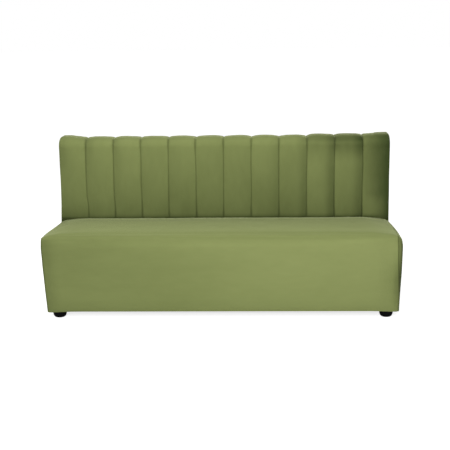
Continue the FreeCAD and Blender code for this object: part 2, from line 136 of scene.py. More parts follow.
def finish_of(name, colour, roughness, height, bump_depth, **constants):
    """A surface from a colour, a roughness and a relief; the constants go straight onto the shader."""
    material = bpy.data.materials.new(name)
    material.use_nodes = True
    tree = material.node_tree
    shader = tree.nodes["Principled BSDF"]
    for socket, value in constants.items():
        shader.inputs[socket.replace("_", " ")].default_value = value
    tree.links.new(colour(tree), shader.inputs["Base Color"])
    tree.links.new(roughness(tree), shader.inputs["Roughness"])
    bump = put(tree, "ShaderNodeBump", Height=height(tree), Strength=1.0, Distance=bump_depth)
    tree.links.new(bump.outputs["Normal"], shader.inputs["Normal"])
    return material


def patterned(name, group, values, stops, roughness, bump_depth, **constants):
    """A surface whose colour, roughness and relief all follow one effect."""
    return finish_of(
        name,
        lambda tree: shade_ramp(tree, effect(tree, group, "Tone", **values), *stops),
        lambda tree: between(tree, effect(tree, group, "Tone", **values), *roughness),
        lambda tree: effect(tree, group, "Relief", **values),
        bump_depth, **constants)


grain, grain_in, grain_out = effect_group("timber grain", {"Stretch": all_ways, "Rings": 40.0})
grain_lie = drawn_out(grain, grain_in)
grain_rings = noise(grain, grain_lie, grain_in["Rings"], Detail=4.0, Distortion=0.6)
grain_fibre = noise(grain, grain_lie, wood_fibres, Detail=2.0)
grain_bands = worked(grain, "PINGPONG", grain_rings, ring_width)
feed(grain, grain_out["Tone"], worked(grain, "MULTIPLY_ADD", grain_bands, ring_contrast, grain_fibre))
feed(grain, grain_out["Relief"], grain_fibre)


def pine(name, stretch):
    """Bare planed pine whose grain lies along the axis with the smallest stretch."""
    return patterned(name, grain, {"Stretch": stretch, "Rings": pine_rings},
                     ((0.25, pine_dark), (0.95, pine_light)), pine_roughness, pine_relief)


def dress(material, *names):
    """Gives carried-over solids their surface."""
    for name in names:
        mesh = nodes[name].data
        mesh.materials.clear()
        mesh.materials.append(material)


dress(pine("pine bars along the width", (0.05, 1.0, 1.0)),
      "seat_front_sill", "seat_rear_sill", "seat_front_rail", "seat_rear_rail", "seat_glue_blocks",
      "back_seat_rail", "back_lower_rail", "back_foot_rail", "back_top_rail")
dress(pine("pine bars front to rear", (1.0, 0.05, 1.0)),
      "seat_left_sill", "seat_right_sill", "seat_centre_sill", "seat_left_rail", "seat_right_rail",
      "seat_stretcher")
dress(pine("pine posts", (1.0, 1.0, 0.05)), "seat_front_posts", "seat_rear_posts")


# Plywood: four sawn uprights and the thin board behind the channels, faced with birch veneer.
# The plies show as stripes on the sawn edges, and the boards are glued and stapled to the bars.
veneer_dark = (0.50, 0.35, 0.20, 1)
veneer_light = (0.70, 0.55, 0.36, 1)
veneer_rings = 18.0
veneer_roughness = (0.5, 0.65)
veneer_relief = 0.0002
ply_dark = (0.30, 0.19, 0.10, 1)
ply_light = (0.62, 0.46, 0.28, 1)
ply_thickness = 0.0015


def mixed(tree, factor, first, second, blend="MIX"):
    """Two colours mixed by a factor."""
    node = put(tree, "ShaderNodeMix", {"data_type": "RGBA", "blend_type": blend})
    for number, value in ((0, factor), (6, first), (7, second)):
        feed(tree, node.inputs[number], value)
    return node.outputs[2]


def plywood(name, thickness_axis, stretch):
    """Veneer on the faces across an axis, and stripes of plies on the edges."""
    def veneer(tree, label):
        return effect(tree, grain, label, Stretch=stretch, Rings=veneer_rings)

    def along(tree, vector):
        return put(tree, "ShaderNodeSeparateXYZ", Vector=vector).outputs[thickness_axis]

    def colour(tree):
        face = shade_ramp(tree, veneer(tree, "Tone"), (0.2, veneer_dark), (1.0, veneer_light))
        plies = worked(tree, "PINGPONG", along(tree, place_on(tree)), ply_thickness)
        stripes = between(tree, plies, 0.0, 1.0, 0.0, ply_thickness)
        edge = shade_ramp(tree, stripes, (0.35, ply_dark), (0.65, ply_light))
        facing = along(tree, put(tree, "ShaderNodeNewGeometry").outputs["Normal"])
        return mixed(tree, worked(tree, "POWER", facing, 2.0), edge, face)

    return finish_of(
        name, colour,
        lambda tree: between(tree, veneer(tree, "Relief"), *veneer_roughness),
        lambda tree: veneer(tree, "Relief"),
        veneer_relief)


dress(plywood("birch plywood uprights", "X", (1.0, 1.0, 0.06)),
      "back_upright_1", "back_upright_2", "back_upright_3", "back_upright_4")
dress(plywood("birch plywood board", "Y", (0.06, 1.0, 1.0)), "back_board")


# Hardboard: brown pressed-fibre panels stapled to the front, the sides and the rear of the frame.
# They have no grain, only fine flecks, with one smooth face outwards.
hardboard_dark = (0.16, 0.085, 0.04, 1)
hardboard_light = (0.29, 0.17, 0.09, 1)

fibre, fibre_in, fibre_out = effect_group("loose fibres", {"Stretch": all_ways, "Flecks": 300.0})
fibre_lie = drawn_out(fibre, fibre_in)
fibre_fine = noise(fibre, fibre_lie, fibre_in["Flecks"], Detail=3.0, Distortion=1.4)
fibre_broad = noise(fibre, fibre_lie, 9.0, Detail=3.0)
fibre_sum = worked(fibre, "ADD", fibre_fine, fibre_broad)
feed(fibre, fibre_out["Tone"], worked(fibre, "MULTIPLY", fibre_sum, 0.5))
feed(fibre, fibre_out["Relief"], fibre_fine)


def fibrous(name, dark, light, flecks, bump_depth, stretch=all_ways, roughness=(0.8, 0.95), **constants):
    """Pressed, needled or blown fibre, with broad and fine flecks."""
    return patterned(name, fibre, {"Stretch": stretch, "Flecks": flecks},
                     ((0.35, dark), (0.65, light)), roughness, bump_depth, **constants)


hardboard = fibrous("hardboard", hardboard_dark, hardboard_light, 500.0, 0.0002, roughness=(0.45, 0.6))
dress(hardboard, "seat_front_board", "seat_left_board", "seat_right_board", "rear_board")


# Webbing: elastic straps stapled to the rails, woven over and under each other under the felt.
# Each strap is a flat woven band that rises where it crosses over another.
strap_width = 0.060
strap_thickness = 0.0018
strap_rise = 0.0023
strap_slope = 0.025
strap_edge = 0.001
strap_step = 0.006
cross_straps = 11
long_straps = 3
webbing_dark = (0.05, 0.045, 0.04, 1)
webbing_light = (0.24, 0.22, 0.19, 1)
webbing_threads = 260.0
webbing_roughness = (0.9, 0.7)
webbing_relief = 0.0004


def grid_mesh(points, closed=False, **marks):
    """A mesh over rows of points, with marks at each; closed joins the columns and fills both ends."""
    points = np.asarray(points, float)
    rows, columns = points.shape[:2]
    faces = []
    for r in range(rows - 1):
        for c in range(columns if closed else columns - 1):
            d = (c + 1) % columns
            faces.append((r * columns + c, r * columns + d, (r + 1) * columns + d, (r + 1) * columns + c))
    if closed:
        faces.append(tuple(range(columns))[::-1])
        faces.append(tuple((rows - 1) * columns + c for c in range(columns)))
    mesh = bpy.data.meshes.new("grid")
    mesh.from_pydata(points.reshape(-1, 3).tolist(), [], faces)
    for label, values in marks.items():
        attribute = mesh.attributes.new(label, "FLOAT", "POINT")
        each = np.broadcast_to(values, (rows, columns)).astype(np.float32)
        attribute.data.foreach_set("value", each.ravel())
    return mesh


def one_piece(name, meshes, material, weld=0.0):
    """One smooth object from meshes that lie in place; weld joins their points where they meet."""
    joined = bmesh.new()
    for mesh in meshes:
        joined.from_mesh(mesh)
        bpy.data.meshes.remove(mesh)
    if weld:
        bmesh.ops.remove_doubles(joined, verts=joined.verts, dist=weld)
    bmesh.ops.recalc_face_normals(joined, faces=joined.faces)
    mesh = bpy.data.meshes.new(name)
    joined.to_mesh(mesh)
    joined.free()
    mesh.shade_smooth()
    mesh.materials.append(material)
    piece = bpy.data.objects.new(name, mesh)
    bpy.context.collection.objects.link(piece)
    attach(piece, "root")
    return piece


def rise(value, start, length):
    """From 0 to 1, smoothly, as a value goes from a start to a length past it."""
    x = np.clip((value - start) / length, 0.0, 1.0)
    return x * x * (3 - 2 * x)


def strap_band(start, end, crossings, over_first, low, place):
    """A band that rises over every second crossing; place puts along, across and height in their axes."""
    along = np.linspace(start, end, int((end - start) / strap_step))
    lift = np.zeros_like(along)
    for middle in crossings[0 if over_first else 1::2]:
        outside = np.abs(along - middle) - strap_width / 2
        lift = np.maximum(lift, strap_rise * (1 - rise(outside, 0, strap_slope)))
    half = strap_width / 2
    flat = half - strap_edge
    outline = [(-half, 0.3), (-flat, 0.0), (flat, 0.0), (half, 0.3),
               (half, 0.7), (flat, 1.0), (-flat, 1.0), (-half, 0.7)]
    rows = [[place(a, w, low + h + share * strap_thickness) for w, share in outline]
            for a, h in zip(along, lift)]
    return grid_mesh(rows, closed=True)


weave, weave_in, weave_out = effect_group("woven threads", {"Threads": 700.0})
weave_threads = [put(weave, "ShaderNodeTexWave", {"bands_direction": way},
                     Vector=place_on(weave), Scale=weave_in["Threads"]).outputs["Fac"] for way in "XY"]
weave_over = worked(weave, "MULTIPLY", *weave_threads)
feed(weave, weave_out["Tone"], weave_over)
feed(weave, weave_out["Relief"], weave_over)

webbing_cloth = patterned("elastic webbing", weave, {"Threads": webbing_threads},
                          ((0.0, webbing_dark), (0.8, webbing_light)), webbing_roughness, webbing_relief)
cross_low, cross_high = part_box("cross_webbing")
long_low, long_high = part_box("long_webbing")
cross_x = np.linspace(cross_low.x + strap_width / 2, cross_high.x - strap_width / 2, cross_straps)
long_y = np.linspace(long_low.y + strap_width / 2, long_high.y - strap_width / 2, long_straps)
cross_bands = [strap_band(cross_low.y, cross_high.y, long_y, i % 2 == 0, cross_low.z,
                          lambda a, w, z, x=x: (x + w, a, z)) for i, x in enumerate(cross_x)]
long_bands = [strap_band(long_low.x, long_high.x, cross_x, j % 2 == 1, long_low.z,
                         lambda a, w, z, y=y: (a, y + w, z)) for j, y in enumerate(long_y)]
cross_webbing = one_piece("cross_straps", cross_bands, webbing_cloth)
long_webbing = one_piece("long_straps", long_bands, webbing_cloth)
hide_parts("cross_webbing")
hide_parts("long_webbing")


# Felt: a grey needled sheet laid on the straps, so that the foam doesn't press through them.
# It is cut by hand, so its edges waver a little, and the foam holds it down.
felt_low, felt_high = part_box("seat_felt")
felt_margin = 0.003
felt_waver = 0.002
felt_dark = (0.12, 0.115, 0.11, 1)
felt_light = (0.34, 0.33, 0.31, 1)


def swell(a, b, seed, size):
    """A smooth uneven surface, about -1 to 1, whose waves are about as long as size."""
    total = np.zeros(np.broadcast(a, b).shape)
    for k in range(6):
        turn = 2.399 * (k + 1) + seed
        wave = (0.7 + 0.25 * k) * 2 * math.pi / size
        total = total + np.sin(wave * (a * math.cos(turn) + b * math.sin(turn)) + 1.7 * k * seed + k)
    return total / 4


felt_s, felt_t = np.meshgrid(np.linspace(0, 1, 90), np.linspace(0, 1, 24))
felt_x = felt_low.x + felt_margin + (felt_high.x - felt_low.x - 2 * felt_margin) * felt_s
felt_y = felt_low.y + felt_margin + (felt_high.y - felt_low.y - 2 * felt_margin) * felt_t
felt_x = felt_x + felt_waver * swell(felt_t, felt_s, 2.0, 0.2) * (2 * felt_s - 1)
felt_y = felt_y + felt_waver * swell(felt_s, felt_t, 5.0, 0.1) * (2 * felt_t - 1)
felt_faces = [np.stack([felt_x, felt_y, np.full_like(felt_x, z)], -1) for z in (felt_low.z, felt_high.z)]
felt_rim = [np.concatenate([p[0], p[1:, -1], p[-1, -2::-1], p[-2:0:-1, 0], p[0, :1]]) for p in felt_faces]
felt_cloth = fibrous("needled felt", felt_dark, felt_light, 160.0, 0.0010)
felt_meshes = [grid_mesh(rows) for rows in (*felt_faces, np.stack(felt_rim))]
felt = one_piece("felt_sheet", felt_meshes, felt_cloth, weld=0.0002)
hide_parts("seat_felt")


# Seat padding: a crowned foam block on the felt, thin foam glued to the boards, and a wadding wrap.
# The foam is cut from a slab and its edges are glued down round; the wadding softens them.
half_width = 0.900
front_y = -0.320
base_z = 0.039
rail_top_z = 0.3301
seat_height = 0.440
seat_depth = 0.470
back_rake = math.radians(5.5)
seat_flares = {-1: (0.0, 0.0182), 1: (0.004, 0.0122)}
seat_wide_z = 0.372
brow_tuck = 0.0025
brow_length = 0.03
end_bow = 0.0055
seat_front_flare = 0.008
seat_front_radius = 0.018
seat_corner_radius = 0.026
seat_rear_radius = 0.008
seat_crown = 0.003
shoulder_length = 0.170
seat_front_ends = {-1: (0.031, 0.0005), 1: (0.040, 0.0025)}
seat_rear_ends = {-1: (0.037, 0.0170), 1: (0.045, 0.0165)}
end_edge = 0.048
edge_steps = 30
shoulder_steps = 9
crease_gap = 0.001
crease_radius = 0.010
foot_radius = 0.006
hem_width = 0.050
hem_z = 0.0405
hem_sags = {-1: 0.006, 1: 0.004}
sag_length = 0.15
rear_flap = 0.012
flap_slope = 0.01
foam_inset = 0.0106
wadding_inset = 0.0080
foam_dark = (0.62, 0.55, 0.33, 1)
foam_light = (0.80, 0.74, 0.52, 1)
wadding_dark = (0.70, 0.70, 0.68, 1)
wadding_light = (0.90, 0.90, 0.88, 1)


def crown_y(z):
    """Depth of the channel crowns at a height."""
    return front_y + seat_depth + (z - seat_height) * math.tan(back_rake)


def end_fall(radius, drop, reach, inset):
    """How far the seat's top falls at a distance in from an end: a round edge after a gentle shoulder."""
    edge = radius - inset
    edge_left = max(edge - reach, 0)
    shoulder_left = max(1 - reach / shoulder_length, 0)
    return edge - math.sqrt(edge ** 2 - edge_left ** 2) + drop * shoulder_left ** 2


def seat_outline(side, reach, inset, front_bulge):
    """Points across the seat at a distance in from one end: hem, front, edge, top, crease and rear flap."""
    corner = seat_corner_radius - inset
    corner_left = max(corner - reach, 0)
    flat_top = seat_height - inset - seat_crown
    crown = seat_crown * float(rise(reach, 0, shoulder_length))
    brow = flat_top - end_fall(*seat_front_ends[side], reach, inset)
    rear_brow = flat_top - end_fall(*seat_rear_ends[side], reach, inset)
    front = front_y + inset + corner - math.sqrt(corner ** 2 - corner_left ** 2)
    radius = seat_front_radius - inset
    base = base_z + inset - hem_sags[side] * max(1 - reach / sag_length, 0) ** 1.5
    rear_left = max(seat_rear_radius - reach, 0)
    rear_in = crease_gap + inset + seat_rear_radius - math.sqrt(seat_rear_radius ** 2 - rear_left ** 2)
    foot = front + seat_front_flare + foot_radius
    flap = rail_top_z - rear_flap
    end_low = base_z + inset + foot_radius
    end_z = end_low + (flap - end_low) * float(rise(reach, hem_width, flap_slope))

    def rear(z):
        return crown_y(np.maximum(z, rail_top_z)) - rear_in

    turn = np.linspace(0, math.pi / 2, 10)
    low_turn = turn[2::3]
    down_turn = turn[1::2]
    hem_y = np.linspace(foot + hem_width, foot, 5)
    hem = np.stack([hem_y, np.where(hem_y > foot, hem_z + inset, base)], -1)
    low = np.stack([foot - foot_radius * np.sin(low_turn), base + foot_radius * (1 - np.cos(low_turn))], -1)
    up = np.linspace(0, 1, 26)
    face = np.stack([front + seat_front_flare * (1 - up) - front_bulge * np.sin(math.pi * up) ** 2,
                     base + foot_radius + (brow - radius - base - foot_radius) * up], -1)
    over = np.stack([front + radius * (1 - np.cos(turn)), brow - radius * (1 - np.sin(turn))], -1)
    back = np.linspace(0, 1, 34)
    rear_y = rear(rear_brow) - crease_radius
    top = np.stack([front + radius + (rear_y - front - radius) * back,
                    brow + (rear_brow - brow) * back + crown * (1 - (2 * back - 1) ** 2)], -1)
    down = np.stack([rear_y + crease_radius * np.sin(down_turn),
                     rear_brow - crease_radius * (1 - np.cos(down_turn))], -1)
    fall_z = np.linspace(rear_brow - crease_radius, end_z, 9)[1:]
    behind = np.stack([rear(fall_z), fall_z], -1)
    return np.concatenate([hem, low, face[1:], over[1:], top[1:], down, behind])


def seat_x(side, reach, outline, inset):
    """Distance to the side of the points of an outline, with the flare and the bow of the seat's ends."""
    y, z = outline.T
    foot_flare, more_above = seat_flares[side]
    flare = foot_flare + more_above * np.clip((z - base_z) / (seat_wide_z - base_z), 0, 1)
    flare = flare - brow_tuck * rise(z, seat_wide_z, brow_length)
    flare = flare + end_bow * np.sin(math.pi * np.clip((y - front_y) / seat_depth, 0, 1))
    return side * (half_width - inset - reach + flare * max(1 - reach / shoulder_length, 0))


def seat_reaches(inset):
    """Distances in from an end at which the seat is measured: close by its edge, then wider."""
    edge = end_edge - inset
    close = [edge * i / edge_steps for i in range(edge_steps)]
    wide = [edge + (shoulder_length - edge) * i / shoulder_steps for i in range(shoulder_steps + 1)]
    return close + wide


def seat_skin(inset, front_bulge=0.0, middle_stations=62):
    """Rows of points over the seat from left to right, and how far each row is from its nearer end."""
    ends = {}
    reaches = seat_reaches(inset)
    for side in (-1, 1):
        outlines = [seat_outline(side, reach, inset, front_bulge) for reach in reaches]
        ends[side] = [np.column_stack([seat_x(side, reach, outline, inset), outline])
                      for reach, outline in zip(reaches, outlines)]
    straight = half_width - inset - shoulder_length
    places = np.linspace(-straight, straight, middle_stations)[1:-1]
    section = ends[-1][-1][:, 1:]
    middle = [np.column_stack([np.full(len(section), x), section]) for x in places]
    middle_reaches = [half_width - abs(x) for x in places]
    rows = ends[-1] + middle + ends[1][::-1]
    return np.array(rows), np.array(reaches + middle_reaches + reaches[::-1])


def fan_shares(steps):
    """Shares of the way from a seat end's outline to the middle of its foot, closest by the outline."""
    return np.linspace(0, 1, steps)[:, None] ** 2


def side_fan(outline, steps):
    """Rows from a seat end's outline to the middle of its foot."""
    middle = (outline[0] + outline[-1]) / 2
    return outline + (middle - outline) * fan_shares(steps)[:, :, None]


foam = fibrous("cut foam", foam_dark, foam_light, 900.0, 0.0008)
foam_floor_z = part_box("seat_foam")[0].z
foam_rows, _ = seat_skin(foam_inset)
foam_loops = []
for row in foam_rows:
    over = row[row[:, 2] > foam_floor_z + 0.002]
    first, last = over[0].copy(), over[-1].copy()
    first[2] = last[2] = foam_floor_z
    ring = np.vstack([first, over, last])
    length = np.concatenate([[0], np.cumsum(np.linalg.norm(np.diff(ring, axis=0), axis=1))])
    even = np.linspace(0, length[-1], 60)
    foam_loops.append(np.column_stack([np.interp(even, length, ring[:, i]) for i in range(3)]))
seat_foam = one_piece("seat_foam_block", [grid_mesh(foam_loops, closed=True)], foam)
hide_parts("seat_foam")

slab_thickness = 0.012
slab_taper = 0.014
slab_bevel = 0.008


def foam_slab(name, node, long_axis):
    """A thin foam sheet, fuller towards its top, on one of the boards."""
    low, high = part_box(node)
    width, depth = high.x - low.x, high.y - low.y
    thin = slab_thickness / max(depth if long_axis == "x" else width, slab_thickness)
    loops = []
    for z in np.linspace(low.z + 0.0005, high.z - 0.0005, 14):
        share = (z - low.z) / (high.z - low.z)
        fullness = thin + (1 - thin) * share
        if long_axis == "x":
            x0, x1 = low.x + slab_taper * (1 - share), high.x - slab_taper * (1 - share)
            front = high.y - depth * fullness
            corners = [(x0 + slab_bevel, front), (x1 - slab_bevel, front), (x1, high.y - 0.001),
                       (x1 - 0.002, high.y), (x0 + 0.002, high.y), (x0, high.y - 0.001)]
        else:
            inner, way = (high.x, -1) if low.x < 0 else (low.x, 1)
            outer = inner + way * width * fullness
            corners = [(outer, low.y + 0.004), (outer, high.y - 0.002), (inner, high.y), (inner, low.y)]
        loops.append([(x, y, z) for x, y in corners])
    slab = one_piece(name, [grid_mesh(loops, closed=True)], foam)
    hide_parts(node)


foam_slab("front_foam_sheet", "front_foam", "x")
foam_slab("left_foam_sheet", "left_foam", "y")
foam_slab("right_foam_sheet", "right_foam", "y")

wadding_loft = 0.0050
wadding_fibre = fibrous("polyester wadding", wadding_dark, wadding_light, 120.0, 0.002,
                        stretch=(1.0, 1.0, 0.4))
wadding_rows, _ = seat_skin(wadding_inset)
wadding_rows = wadding_rows[:, 8:-6]
wadding_mesh = [grid_mesh(wadding_rows)]
wadding_mesh += [grid_mesh(side_fan(wadding_rows[end], 12)) for end in (0, -1)]
wadding = one_piece("wadding_wrap", wadding_mesh, wadding_fibre, weld=0.0001)
thickness = wadding.modifiers.new("loft", "SOLIDIFY")
thickness.thickness = wadding_loft
thickness.offset = 0.0
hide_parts("seat_wadding")


# Seat cover: olive velvet, one panel over the front and the top, sewn to a panel at either end.
# It is pulled tight over the wadding, tucked into the crease and stapled under the box.
# The deep colour is painted shade. The dark and light colours give the nap its own darker and lighter tones,
# and they also serve as painted shade and painted light. The pressed colour darkens seams, and it is painted
# shade in creases and pleats.
velvet_deep_shade = (0.040, 0.058, 0.013, 1)
velvet_dark = (0.100, 0.121, 0.038, 1)
velvet_mid = (0.197, 0.230, 0.078, 1)
velvet_light = (0.290, 0.330, 0.120, 1)
velvet_pressed_and_shaded = (0.30, 0.33, 0.24, 1)
velvet_sheen = (0.84, 0.90, 0.50, 1)
velvet_roughness = (0.92, 0.78)
velvet_relief = 0.0006
nap_tones = (0.55, 0.70)
lay_strength = 0.375
settling_frames = 20

nap, nap_in, nap_out = effect_group("brushed nap", {"Stretch": all_ways, "Patches": 4.0, "Pile": 650.0})
nap_lie = drawn_out(nap, nap_in)
nap_patch = noise(nap, nap_lie, nap_in["Patches"], Detail=2.5, Roughness=0.55, Distortion=0.4)
nap_streak = noise(nap, nap_lie, 38.0, Detail=3.0)
nap_pile = noise(nap, place_on(nap), nap_in["Pile"], Detail=2.0, Roughness=0.7)
nap_broad = worked(nap, "MULTIPLY_ADD", nap_streak, 0.35, nap_patch)
nap_all = worked(nap, "MULTIPLY_ADD", nap_pile, 0.25, nap_broad)
feed(nap, nap_out["Tone"], between(nap, nap_all, 0.0, 1.0, 0.45, 1.15))
feed(nap, nap_out["Relief"], nap_pile)


def velvet(name, stretch):
    """Olive pile whose nap lies along the axis with the smallest stretch, darker where a seam presses it,
    with painted shade in creases and painted light and shade from its marks.
    """
    def marked(tree, label):
        return put(tree, "ShaderNodeAttribute", {"attribute_name": label}).outputs["Fac"]

    def colour(tree):
        tone = between(tree, effect(tree, nap, "Tone", Stretch=stretch), *nap_tones)
        # The painted light and shade mark shifts the nap's tone lighter or darker.
        brushed = worked(tree, "MULTIPLY_ADD", marked(tree, "lay"), lay_strength, tone)
        open_pile = shade_ramp(tree, brushed, (0.0, velvet_deep_shade), (0.25, velvet_dark),
                               (0.625, velvet_mid), (1.0, velvet_light))
        # The seam mark darkens the colour for pressed pile, and it is painted shade in creases and pleats.
        return mixed(tree, marked(tree, "seam"), open_pile, velvet_pressed_and_shaded, "MULTIPLY")

    return finish_of(
        name, colour,
        lambda tree: between(tree, effect(tree, nap, "Tone", Stretch=stretch), *velvet_roughness),
        lambda tree: effect(tree, nap, "Relief", Stretch=stretch),
        velvet_relief,
        Sheen_Weight=0.45, Sheen_Roughness=0.38, Sheen_Tint=velvet_sheen, Specular_IOR_Level=0.15)


seat_velvet = velvet("olive velvet of the seat", (0.35, 0.9, 1.1))


def normals_of(points):
    """Outward directions over a grid of points."""
    normal = np.cross(np.gradient(points, axis=1), np.gradient(points, axis=0))
    return normal / np.maximum(np.linalg.norm(normal, axis=2, keepdims=True), 1e-9)


def run_along(points):
    """Length from the start of each row of points."""
    steps = np.linalg.norm(np.diff(points, axis=1), axis=2)
    return np.concatenate([np.zeros((len(points), 1)), np.cumsum(steps, 1)], 1)


def settled(points, held, pressure, cap):
    """The same grid after its cloth has swelled a little, held where held is 1, with its moves capped."""
    trial = bpy.data.objects.new("settling", grid_mesh(points))
    bpy.context.collection.objects.link(trial)
    pins = trial.vertex_groups.new(name="held")
    pins.add(np.flatnonzero(held.ravel() > 0.5).tolist(), 1.0, "REPLACE")
    cloth = trial.modifiers.new("cloth", "CLOTH")
    cloth.settings.quality = 5
    cloth.settings.mass = 0.35
    cloth.settings.tension_stiffness = 18
    cloth.settings.compression_stiffness = 18
    cloth.settings.shear_stiffness = 6
    cloth.settings.bending_stiffness = 0.8
    cloth.settings.vertex_group_mass = "held"
    cloth.settings.use_pressure = True
    cloth.settings.uniform_pressure_force = pressure
    cloth.settings.effector_weights.gravity = 0
    cloth.collision_settings.use_collision = False
    for step in range(settling_frames):
        bpy.context.scene.frame_set(step + 1)
    shape = trial.evaluated_get(bpy.context.evaluated_depsgraph_get()).data
    after = np.empty(points.size, np.float32)
    shape.vertices.foreach_get("co", after)
    bpy.data.objects.remove(trial)
    bpy.context.scene.frame_set(1)
    moved = after.reshape(points.shape) - points
    length = np.linalg.norm(moved, axis=2, keepdims=True)
    return points + moved * np.minimum(1, cap / np.maximum(length, 1e-9))


def fall(value, end, length):
    """From 1 to 0, smoothly, as a value comes up to an end over a length before it."""
    return rise(-value, -end, length)


def peak(distance, width):
    """1 at a distance of 0, fading to 0 on both sides over about a width."""
    return np.exp(-(distance / width) ** 2)


def dying(distance, length):
    """1 at a distance of 0, dying away over about a length."""
    return np.exp(-distance / length)


seat_swelling = 0.0045
seat_bulge = 0.003
hem_points = 8
front_points = 33
rear_points = 12
seam_low = 0.005
seam_high = 0.0225
seam_depth = 0.0022
seam_width = 0.0022
pucker_spacing = 0.034
pucker_depth = 0.0009
fold_spacing = 0.055
fold_depth = 0.0010
seat_rows, seat_reach = seat_skin(0.0, front_bulge=seat_bulge)
seat_side = np.sign(seat_rows[:, :1, 0])
seat_out = normals_of(seat_rows)
seat_run = run_along(seat_rows)
from_end = seat_reach[:, None]
point_number = np.arange(seat_rows.shape[1])[None, :]
past_edge = point_number - front_points
on_front = 1 - rise(past_edge, -3, 7)
front_seam = seam_low + (seam_high - seam_low) * rise(seat_rows[:, :, 2], base_z, 0.34)
seam_reach = np.where(seat_side > 0, front_seam, seam_low)
from_seam = from_end - seam_reach
tucked = (point_number < hem_points) | (point_number >= seat_rows.shape[1] - rear_points)
seat_held = (tucked | (from_seam < 0.0015)).astype(float)
free = rise(from_seam, 0.002, 0.12) * rise(seat_run, 0.07, 0.05)
free = free * fall(seat_run, seat_run[:, -1:] - 0.16, 0.05)
seat_cap = 0.001 + 0.004 * rise(from_seam, 0, 0.12)[:, :, None]
seat_rows = settled(seat_rows - seat_out * (seat_swelling * free)[:, :, None], seat_held, -4.0, seat_cap)

pucker = np.sin(2 * math.pi * (seat_run / pucker_spacing + 0.6 * swell(seat_run, seat_side, 3.0, 0.25)))
pucker = pucker * peak(from_seam, 0.020) * rise(from_end, 0, 0.008)
pucker = pucker * (0.45 + 0.55 * swell(seat_run, seat_side, 8.0, 0.4) ** 2)
unevenness = (0.0012 * swell(seat_rows[:, :, 0], seat_run, 1.0, 0.55)
              + 0.0005 * swell(seat_rows[:, :, 0], seat_run, 4.0, 0.16))
folds = np.sin(2 * math.pi * from_end / fold_spacing + 2.0 * swell(seat_run, seat_side, 5.0, 0.5))
folds = folds * on_front * dying(from_end, 0.09) * rise(from_seam, 0.004, 0.02)
relief = unevenness + pucker_depth * pucker + fold_depth * folds - seam_depth * peak(from_seam, seam_width)
relief = relief * rise(seat_run, hem_width, 0.03)
seat_rows = seat_rows + seat_out * relief[:, :, None]
seat_across, seat_back, seat_up = np.moveaxis(seat_rows, 2, 0)

# Marks for the velvet of the seat: pressed pile in the seams, painted shade in the crease, and painted light
# and shade over the rest.
crease_run = seat_run - (seat_run[:, -1:] - 0.125)
crease_shade = 0.9 * rise(crease_run, -0.014, 0.016)
seat_seam_and_shade = np.maximum(0.85 * peak(from_seam, 0.0028), crease_shade)

# Painted light and shade on the front: lighter to the right and upwards, and darker by its left end.
front_height = np.clip((seat_up - 0.06) / 0.36, 0, 1)
to_right = rise(seat_across, -0.9, 1.7)
front_lay = to_right * (0.54 + 0.45 * front_height) - 0.18
front_lay = front_lay - 0.35 * (seat_side < 0) * (1 - rise(from_end, 0, 0.095))

# Painted shade by the right seam: the front is darkest in a hollow halfway up, and it is dark again beyond
# the seam.
from_hollow = (seat_up - 0.20) / np.where(seat_up > 0.20, 0.10, 0.16)
hollow_shade = dying(np.maximum(from_seam, 0), 0.034) * peak(from_hollow, 1)
beyond_seam = np.clip(-from_seam / seam_reach, 0, 1)
upper_end = rise(seat_up, 0.27, 0.08)
right_lay = 1.25 * hollow_shade + 0.3 * (from_seam < 0) + 1.1 * beyond_seam + 0.8 * upper_end * beyond_seam ** 2
front_lay = front_lay - (seat_side > 0) * right_lay

# Painted shade darkens the top towards the crease, with a painted highlight band and a thin painted dark line
# along its front edge.
top_lay = -0.07 - 0.42 * rise(seat_back, -0.16, 0.20) - 0.38 * rise(seat_back, -0.02, 0.10)
front_highlight_band = rise(past_edge + 7 * to_right, 5, 5) * (1 - rise(past_edge, 13, 8))
front_edge_shade = peak(past_edge - 3 + 2 * to_right, 3)
edge_lay = (0.20 + 0.12 * to_right) * front_highlight_band - (0.10 + 0.10 * to_right) * front_edge_shade
seat_lay = on_front * front_lay + (1 - on_front) * top_lay + edge_lay


def turned_under(line, inward, radius):
    """Rows of a hem from a line of points: rolled in by a radius, then flat under the frame."""
    down = np.array([0, 0, -1])
    rows = [line + inward * radius * (1 - math.cos(angle)) + down * radius * math.sin(angle)
            for angle in np.linspace(0, math.pi / 2, 4)]
    for share in (0.2, 1.0):
        flat = rows[3] + inward * share * hem_width
        flat[:, 2] = hem_z
        rows.append(flat)
    return np.array(rows)


fan_steps = 20
mark_fade = np.clip(1 - fan_shares(fan_steps) / 0.03, 0, 1)
# The cover and its end fans carry the seam mark with its painted crease shade, and the painted light and
# shade mark.
seat_meshes = [grid_mesh(seat_rows, seam=seat_seam_and_shade, lay=seat_lay)]
for end in (0, -1):
    outline = seat_rows[end, hem_points - 1:]
    seam_and_shade_marks = mark_fade * seat_seam_and_shade[end, hem_points - 1:]
    lay_marks = mark_fade * seat_lay[end, hem_points - 1:]
    seat_meshes.append(grid_mesh(side_fan(outline, fan_steps), seam=seam_and_shade_marks, lay=lay_marks))
    foot_line = np.linspace(outline[0], outline[-1], 24)
    inward = np.array([-np.sign(foot_line[0, 0]), 0, 0])
    seat_meshes.append(grid_mesh(turned_under(foot_line, inward, foot_radius), seam=0.0, lay=0.0))
seat_cover = one_piece("seat_velvet", seat_meshes, seat_velvet, weld=0.00005)
seat_smooth = seat_cover.modifiers.new("rounded", "SUBSURF")
seat_smooth.levels = seat_smooth.render_levels = 1
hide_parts("seat_cover")


